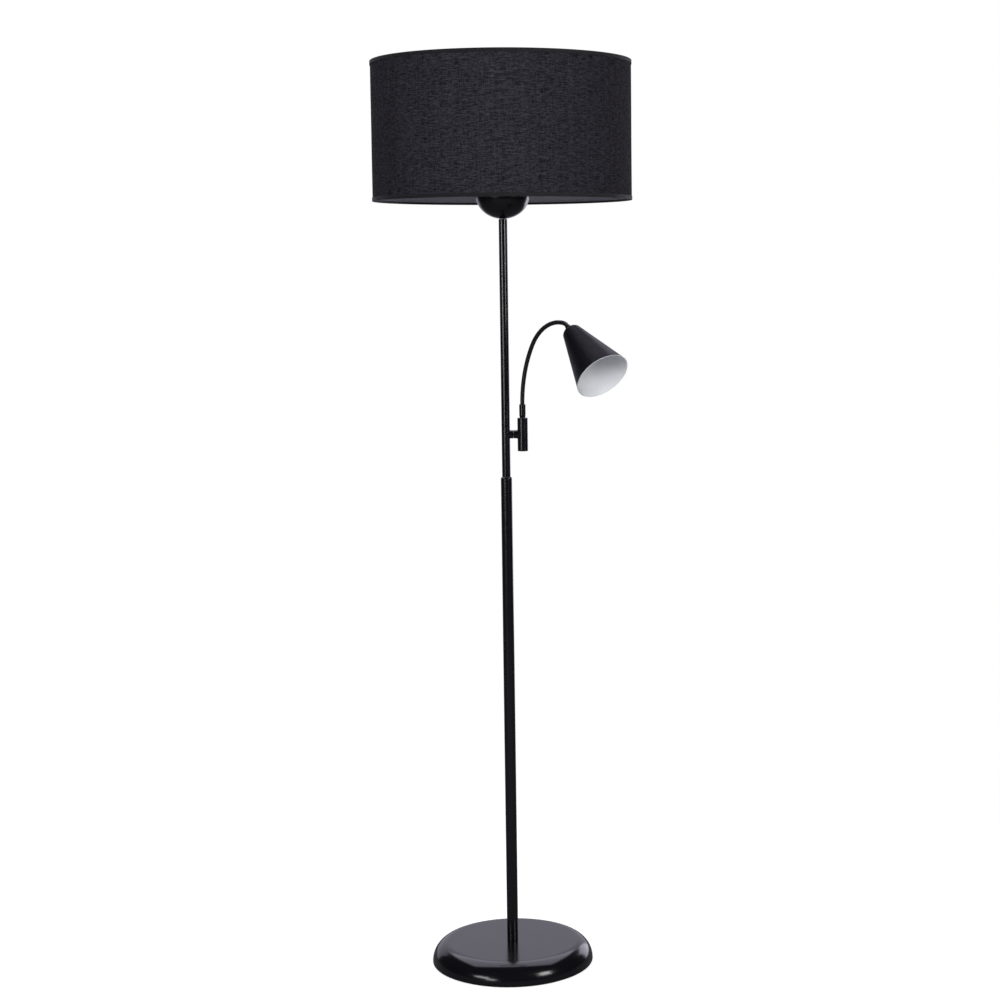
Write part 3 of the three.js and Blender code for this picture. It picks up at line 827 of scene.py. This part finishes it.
def build_shade(looks):
    low, high = span("shade_fabric")
    skin = high.x
    tape_outer = span("shade_trim_bottom")[1].x
    cloth = drum_cloth("shade_cloth", skin - 0.8, skin - 0.1, low.z, high.z)
    finish_piece(cloth, "stand", looks["black_fabric"], "black_fabric", "shade_fabric")
    film = span("shade_liner")[1].x
    lining = drum_cloth("shade_lining", film - 0.6, film, low.z, high.z)
    finish_piece(lining, "stand", looks["white_liner"], "white_liner", "shade_liner")

    wire = (span("shade_ring_bottom")[1].z - span("shade_ring_bottom")[0].z) / 2
    ring_radius = span("shade_ring_bottom")[1].x - wire
    tape_inner = ring_radius - wire - 0.3 - TAPE
    bottom_edge = span("shade_trim_bottom")[0].z
    top_edge = span("shade_trim_top")[1].z
    tapes = [
        edging("edging_bottom", tape_inner, tape_outer, bottom_edge, 1, "shade_trim_bottom", looks),
        edging("edging_top", tape_inner, tape_outer, top_edge, -1, "shade_trim_top", looks),
    ]
    seam = build_seam(skin - 0.1, low.z + TAPE_OUTSIDE, high.z - TAPE_OUTSIDE, looks)
    hoops = [
        hoop("hoop_bottom", "shade_ring_bottom", ring_radius, looks),
        hoop("hoop_top", "shade_ring_top", ring_radius, looks),
    ]
    build_carrier(ring_radius, looks)


def build_carrier(ring_radius, looks):
    """The gallery that the ring nut clamps, and three wires down to the bottom hoop."""
    steel = looks["zinc_steel"]
    low, high = span("shade_gallery")
    outer, hole = high.x, 20.3
    gallery = lathe("shade_carrier", rounded([
        (outer, low.z, 0.5), (outer, high.z, 0.5), (hole, high.z, 0.3), (hole, low.z, 0.3),
    ]), steps=120)
    finish_piece(gallery, "stand", steel, "zinc_steel", "shade_gallery")

    wire = 1.5
    foot = span("shade_arm_1")[0].z + wire
    head = (low.z + high.z) / 2
    outer_bend, inner_bend = 206, 40
    side_view = rounded([
        (ring_radius, foot), (outer_bend, foot, 14), (inner_bend, head, 9), (outer - 1, head),
    ], 8, closed=False)
    for i in range(3):
        azimuth = math.pi / 2 + i * 2 * math.pi / 3
        out = Vector((math.cos(azimuth), math.sin(azimuth), 0))
        path = [out * r + Vector((0, 0, z)) for r, z in side_view]
        spoke = sweep(f"spoke_{i + 1}", path, out.cross(Vector((0, 0, 1))), wire, 16)
        finish_piece(spoke, "stand", steel, "zinc_steel", f"shade_arm_{i + 1}")


# ---------------------------------------------------------------- arm

STUB_RADIUS = 7.3
STUB_BORE = 3.3
GAP = 0.3


def build_stub(looks):
    """A fixed spacer on the pole and a turning collar on the barrel, both along X."""
    paint = looks["black_paint"]
    low, high = span("arm_spacer")
    height = (low.z + high.z) / 2
    seam = high.x
    pole = span("upper_tube")[1].x + GAP
    soft = 0.35
    on_pole = on_cylinder(0, pole, 1)
    spacer = cross_sleeve("stub_fixed", [
        (STUB_RADIUS, on_pole), (STUB_RADIUS, flat_at(seam - 2)), (STUB_RADIUS, flat_at(seam - soft)),
        (STUB_RADIUS - soft, flat_at(seam)), (STUB_BORE, flat_at(seam)), (STUB_BORE, on_pole),
    ], height)
    finish_piece(spacer, "stand", paint, "black_paint", "arm_spacer")

    start = span("arm_collar")[0].x
    barrel_low, barrel_high = span("arm_barrel")
    centre = (barrel_low.x + barrel_high.x) / 2
    on_barrel = on_cylinder(centre, (barrel_high.x - barrel_low.x) / 2 + GAP / 3, -1)
    flare, flare_start = 0.75, start + 4
    rings = [
        (STUB_RADIUS - soft, flat_at(start)), (STUB_RADIUS, flat_at(start + soft)),
        (STUB_RADIUS, flat_at(start + 2)),
    ]
    for i in range(7):
        share = i / 6

        def x_at(y, share=share):
            return flare_start + (on_barrel(y) - flare_start) * share

        rings.append((STUB_RADIUS + flare * share ** 3, x_at))
    rings += [(STUB_BORE, on_barrel), (STUB_BORE, flat_at(start))]
    collar = cross_sleeve("stub_turning", rings, height)
    finish_piece(collar, "arm", paint, "black_paint", "arm_collar")


def build_barrel(looks):
    paint = looks["black_paint"]
    low, high = span("arm_barrel")
    centre = (low.x + high.x) / 2
    radius = (high.x - low.x) / 2
    here = Matrix.Translation((centre, 0, 0))
    wall, rim = 1.5, 5
    barrel = lathe("stub_barrel", rounded([
        (radius, low.z, 0.12), (radius, high.z, 0.4), (rim, high.z, 0.3), (rim, high.z - 3),
        (radius - wall, high.z - 3), (radius - wall, low.z),
    ]), here)
    finish_piece(barrel, "arm", paint, "black_paint", "arm_barrel")

    end_low, end_high = span("barrel_cap")
    plug = radius - wall - GAP
    end = lathe("barrel_end", rounded([
        (0, end_low.z), (radius, end_low.z, 1.4), (radius, low.z - GAP, 0.12), (plug, low.z - GAP),
        (plug, end_high.z, 0.4), (0, end_high.z),
    ], 8, closed=False), here)
    finish_piece(end, "arm", paint, "black_paint", "barrel_cap")


# ---------------------------------------------------------------- gooseneck

NECK_AZIMUTH = math.radians(-54.75)
NECK_BENDS = (  # radius and angle
    (191, math.radians(32.9)), (91, math.radians(64.6)), (22.7, math.radians(33.6)),
)
NECK_RADIUS = 3.85
HOSE_PIECES = 5
RIB_PITCH = 1.8
RIB_DEPTH = 0.13
NECK_LENGTH = sum(radius * angle for radius, angle in NECK_BENDS)
NECK_OUT = Vector((math.cos(NECK_AZIMUTH), math.sin(NECK_AZIMUTH), 0))


def neck_at(distance):
    """The hose's point and direction that far out of the ferrule, where it points straight up."""
    low, high = span("neck_ferrule")
    root = Vector(((low.x + high.x) / 2, 0, high.z))
    out, up, elevation = 0.0, 0.0, math.pi / 2
    left = distance
    for radius, angle in NECK_BENDS:
        turn = min(max(left / radius, 0), angle)
        out += radius * (math.sin(elevation) - math.sin(elevation - turn))
        up += radius * (math.cos(elevation - turn) - math.cos(elevation))
        elevation -= turn
        left -= radius * angle
    upright = Vector((0, 0, 1))
    direction = NECK_OUT * math.cos(elevation) + upright * math.sin(elevation)
    return root + NECK_OUT * out + upright * up, direction


def build_ferrule(looks):
    low, high = span("neck_ferrule")
    barrel_top = span("arm_barrel")[1].z
    radius = (high.x - low.x) / 2
    bottom = barrel_top + 1.2
    spigot, bore = 4.7, 2
    ferrule = lathe("hose_ferrule", rounded([
        (bore, low.z), (spigot, low.z), (spigot, bottom), (radius - 0.7, bottom, 0.5),
        (radius, bottom + 3, 3), (radius, high.z, 1.5), (NECK_RADIUS - 0.3, high.z),
        (bore, high.z - 0.5),
    ], 6), Matrix.Translation(((low.x + high.x) / 2, 0, 0)))
    finish_piece(ferrule, "neck_root", looks["black_paint"], "black_paint", "neck_ferrule")


def build_hose(looks):
    """The hose in five lengths, each swept along the neck's path and left on no body."""
    nodes = [[f"neck_link_{i}"] for i in range(1, HOSE_PIECES)] + [["neck_link_5", "neck_link_6"]]
    across = NECK_OUT.cross(Vector((0, 0, 1)))
    length = NECK_LENGTH / HOSE_PIECES
    steps = 124
    for i in range(HOSE_PIECES):
        distances = [(i + step / steps) * length for step in range(steps + 1)]
        path = [neck_at(s)[0] for s in distances]

        def ribbed(step, angle, distances=distances):
            wave = math.cos(2 * math.pi * distances[step] / RIB_PITCH + angle)
            return NECK_RADIUS - RIB_DEPTH * (0.5 - 0.5 * wave) ** 2

        hose = sweep(f"hose_{i + 1}", path, across, ribbed, 24, crease=60)
        finish_piece(hose, None, looks["black_hose"], "black_hose", *nodes[i])
        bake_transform(hose)


# ---------------------------------------------------------------- reading head

HEAD_LENGTH = 112.6
HEAD_BACK = 11.3  # from the hose's end to the cone's closed back
MOUTH_RADIUS = 48
BACK_RADIUS = 16.3
HEAD_WALL = 1.2


def build_head(looks):
    end, axis = neck_at(NECK_LENGTH)
    here = Matrix.Translation(end) @ axis.to_track_quat("Z", "Y").to_matrix().to_4x4()
    mouth = HEAD_BACK + HEAD_LENGTH
    skin = 0.7
    film = 0.05
    hole = NIPPLE_HOLE
    slope = (MOUTH_RADIUS - BACK_RADIUS) / (HEAD_LENGTH - 4)

    shell = lathe("head_shell", rounded([
        (hole, HEAD_BACK), (BACK_RADIUS - 2.6, HEAD_BACK, 0.8), (BACK_RADIUS, HEAD_BACK + 3.4, 2.2),
        (MOUTH_RADIUS - slope * 0.4, mouth - 0.4, 0.1), (MOUTH_RADIUS - skin, mouth - 0.4),
        (BACK_RADIUS - skin, HEAD_BACK + 4), (BACK_RADIUS - 3, HEAD_BACK + skin),
        (hole, HEAD_BACK + skin),
    ], 8), here, 160)
    finish_piece(shell, "head", looks["head_paint"], "head_paint", "head_cone")

    inner_mouth, inner_back = MOUTH_RADIUS - HEAD_WALL, BACK_RADIUS - HEAD_WALL
    enamel = lathe("head_lining", rounded([
        (hole, HEAD_BACK + skin + film), (BACK_RADIUS - 3, HEAD_BACK + skin + film),
        (BACK_RADIUS - skin - film, HEAD_BACK + 4), (MOUTH_RADIUS - skin - film, mouth - 0.35),
        (MOUTH_RADIUS, mouth - 0.35, 0.3), (MOUTH_RADIUS, mouth + 0.25, 0.3),
        (inner_mouth, mouth + 0.25, 0.3), (inner_mouth - 0.3, mouth - 1),
        (inner_back, HEAD_BACK + 4.4), (BACK_RADIUS - 4.4, HEAD_BACK + 1.4),
        (hole, HEAD_BACK + 1.4),
    ], 5), here, 160)
    finish_piece(enamel, "head", head_enamel_look(), "head_paint")

    radius, spigot = 5, 4
    collar = lathe("hose_collar", rounded([
        (0, GAP), (radius, GAP, 1), (radius, HEAD_BACK - GAP, 0.5), (spigot, HEAD_BACK - GAP),
        (spigot, HEAD_BACK + 4.6, 0.4), (0, HEAD_BACK + 4.6),
    ], closed=False), here, 64)
    finish_piece(collar, "head", looks["black_paint"], "black_paint", "head_collar")
    build_spot(here, looks)


def build_spot(here, looks):
    """The twist-lock holder and spot bulb deep inside the cone."""
    bottom, top = HEAD_BACK + 5, HEAD_BACK + 17
    holder = lathe("spot_socket", rounded([
        (0, bottom), (9.5, bottom, 0.6), (11.5, bottom + 2, 0.8), (11.5, top, 0.8), (0, top),
    ], closed=False), here, 72)
    finish_piece(holder, "head", looks["white_ceramic"], "white_ceramic", "spot_lampholder")
    back = top + GAP
    front = back + 37
    radius = 17.5
    bulb = lathe("spot_bulb", rounded([
        (0, back), (9, back, 1), (9.5, back + 10, 5), (12.5, back + 18, 16), (radius, front - 4, 4),
        (radius, front, 0.8), (0, front),
    ], 8, closed=False), here, 96)
    finish_piece(bulb, "head", looks["white_plastic"], "white_plastic", "spot_bulb_body")
    glass = 16
    start = front + GAP
    lens = lathe("spot_lens", rounded([
        (0, start), (glass, start, 0.4), (glass, start + 1.2, 0.8), (glass - 3, start + 2.3, 6),
        (0, start + 2.7),
    ], 6, closed=False), here, 96)
    finish_piece(lens, "head", looks["opal_diffuser"], "opal_diffuser", "spot_bulb_lens")


# ---------------------------------------------------------------- carried-over CAD nodes


def dress_cad_nodes(looks):
    """Gives every CAD node, shown or not, the material of its slot in the record."""
    for row in frame["record"]["subparts"]:
        node = frame["nodes"][row["node"]]
        node.data.materials.clear()
        node.data.materials.append(looks[row["material_slot"]])


bpy.context.scene.view_settings.view_transform = "Standard"
add_camera()
add_world()
add_lights()
add_floor()

looks = make_looks()
build_base(looks)
build_pole(looks)
build_bowl(looks)
build_lampholder(looks)
build_bulb(looks)
build_shade(looks)
build_stub(looks)
build_barrel(looks)
build_ferrule(looks)
build_hose(looks)
build_head(looks)
dress_cad_nodes(looks)
